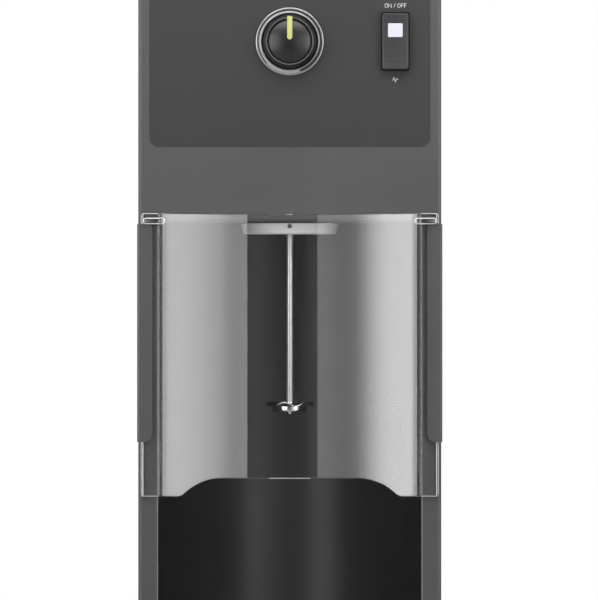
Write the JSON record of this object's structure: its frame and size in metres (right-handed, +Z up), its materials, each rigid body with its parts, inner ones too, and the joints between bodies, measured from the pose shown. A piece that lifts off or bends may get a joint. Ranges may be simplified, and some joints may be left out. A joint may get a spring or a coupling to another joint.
{
  "type": "spindle drink mixer",
  "caption": "Tall countertop drink mixer with an open cup bay, a spindle agitator, a clear lift-up splash shield, a speed knob, a rocker switch and a drip tray.",
  "frame": {"origin": "on the ground under the middle of the machine's box", "axes": "+Z up, the front faces -Y, +X to the right of someone facing the front"},
  "size_m": [0.2296, 0.2864, 0.74],
  "materials": {
    "cabinet_paint": "satin dark grey powder coat",
    "zinc_steel": "zinc plated",
    "screws": "plated",
    "black_liner": "smooth black moulding",
    "tray_black": "black moulding",
    "grille_steel": "stainless",
    "clear_plastic": "clear polycarbonate, polished edges",
    "panel_film": "fine satin film",
    "bezel_silver": "satin silver",
    "knob_black": "satin black",
    "pointer_yellow": "pale yellow green insert",
    "pot_metal": "plated",
    "switch_black": "fine textured",
    "lens_white": "translucent lens",
    "switch_metal": "tin plated",
    "housing_alloy": "turned and cast",
    "bearing_steel": "ground",
    "seal_rubber": "matt",
    "spindle_steel": "polished stainless",
    "agitator_steel": "polished stainless",
    "collar_grey": "light grey moulding",
    "motor_iron": "laminated",
    "copper_parts": "lacquered copper",
    "carbon": "carbon",
    "fan_plastic": "moulded",
    "board_green": "coated board",
    "gland_black": "nylon"
  },
  "bodies": {
    "cabinet": {"cabinet_shell": "cabinet_paint", "top_cap": "cabinet_paint", "rear_cover": "cabinet_paint", "shield_guide_right": "cabinet_paint", "shield_guide_left": "cabinet_paint", "base_pan": "zinc_steel", "bay_floor": "zinc_steel", "motor_plate": "zinc_steel", "rear_cover_screws": "screws", "foot_screws": "screws", "bearing_housing_screws": "screws", "motor_posts": "screws", "potentiometer_nut": "screws", "gland_nut": "screws", "bay_liner": "black_liner", "control_panel": "panel_film", "knob_bezel": "bezel_silver", "potentiometer": "pot_metal", "switch_housing": "switch_black", "switch_pin": "switch_metal", "switch_terminals": "switch_metal", "bearing_housing": "housing_alloy", "motor_lower_bell": "housing_alloy", "motor_upper_bell": "housing_alloy", "spindle_bearing_outer_races": "bearing_steel", "motor_bearing_outer_races": "bearing_steel", "shaft_seal": "seal_rubber", "motor_isolators": "seal_rubber", "rubber_feet": "seal_rubber", "motor_field": "motor_iron", "field_coils": "copper_parts", "brush_holders": "copper_parts", "carbon_brushes": "carbon", "board_standoffs": "fan_plastic", "control_board": "board_green", "cord_gland": "gland_black"},
    "shield": {"splash_shield": "clear_plastic"},
    "knob": {"speed_knob": "knob_black", "knob_pointer": "pointer_yellow", "potentiometer_shaft": "pot_metal"},
    "rocker": {"switch_rocker": "switch_black", "switch_lens": "lens_white"},
    "spindle": {"drive_spindle": "spindle_steel", "agitator_shaft": "spindle_steel", "agitator_disc": "agitator_steel", "agitator_button": "agitator_steel", "agitator_nuts": "spindle_steel", "splash_collar": "collar_grey", "collar_screw": "screws", "lower_coupling_hub": "housing_alloy", "upper_coupling_hub": "housing_alloy", "coupling_spider": "seal_rubber", "armature": "motor_iron", "commutator": "copper_parts", "motor_fan": "fan_plastic", "motor_shaft": "spindle_steel", "spindle_bearing_inner_races": "bearing_steel", "motor_bearing_inner_races": "bearing_steel"},
    "tray": {"drip_tray": "tray_black"},
    "grille": {"drip_grille": "grille_steel"}
  },
  "joints": [
    {"name": "shield_lift", "type": "slide", "parent": "cabinet", "child": "shield", "axis": [0, 0, 1], "range_m": [0, 0.18]},
    {"name": "knob_turn", "type": "hinge", "parent": "cabinet", "child": "knob", "pos_m": [0, -0.10505, 0.6486], "axis": [0, 1, 0], "range_deg": [-150, 150]},
    {"name": "switch_rock", "type": "hinge", "parent": "cabinet", "child": "rocker", "pos_m": [0.0794, -0.10105, 0.6486], "axis": [1, 0, 0], "range_deg": [-10, 10]},
    {"name": "spindle_spin", "type": "hinge", "parent": "cabinet", "child": "spindle", "pos_m": [0, -0.0168, 0.44], "axis": [0, 0, 1], "continuous": true},
    {"name": "tray_slide", "type": "slide", "parent": "cabinet", "child": "tray", "axis": [0, -1, 0], "range_m": [0, 0.12]},
    {"name": "grille_lift", "type": "slide", "parent": "tray", "child": "grille", "axis": [0, 0, 1], "range_m": [0, 0.03]}
  ]
}
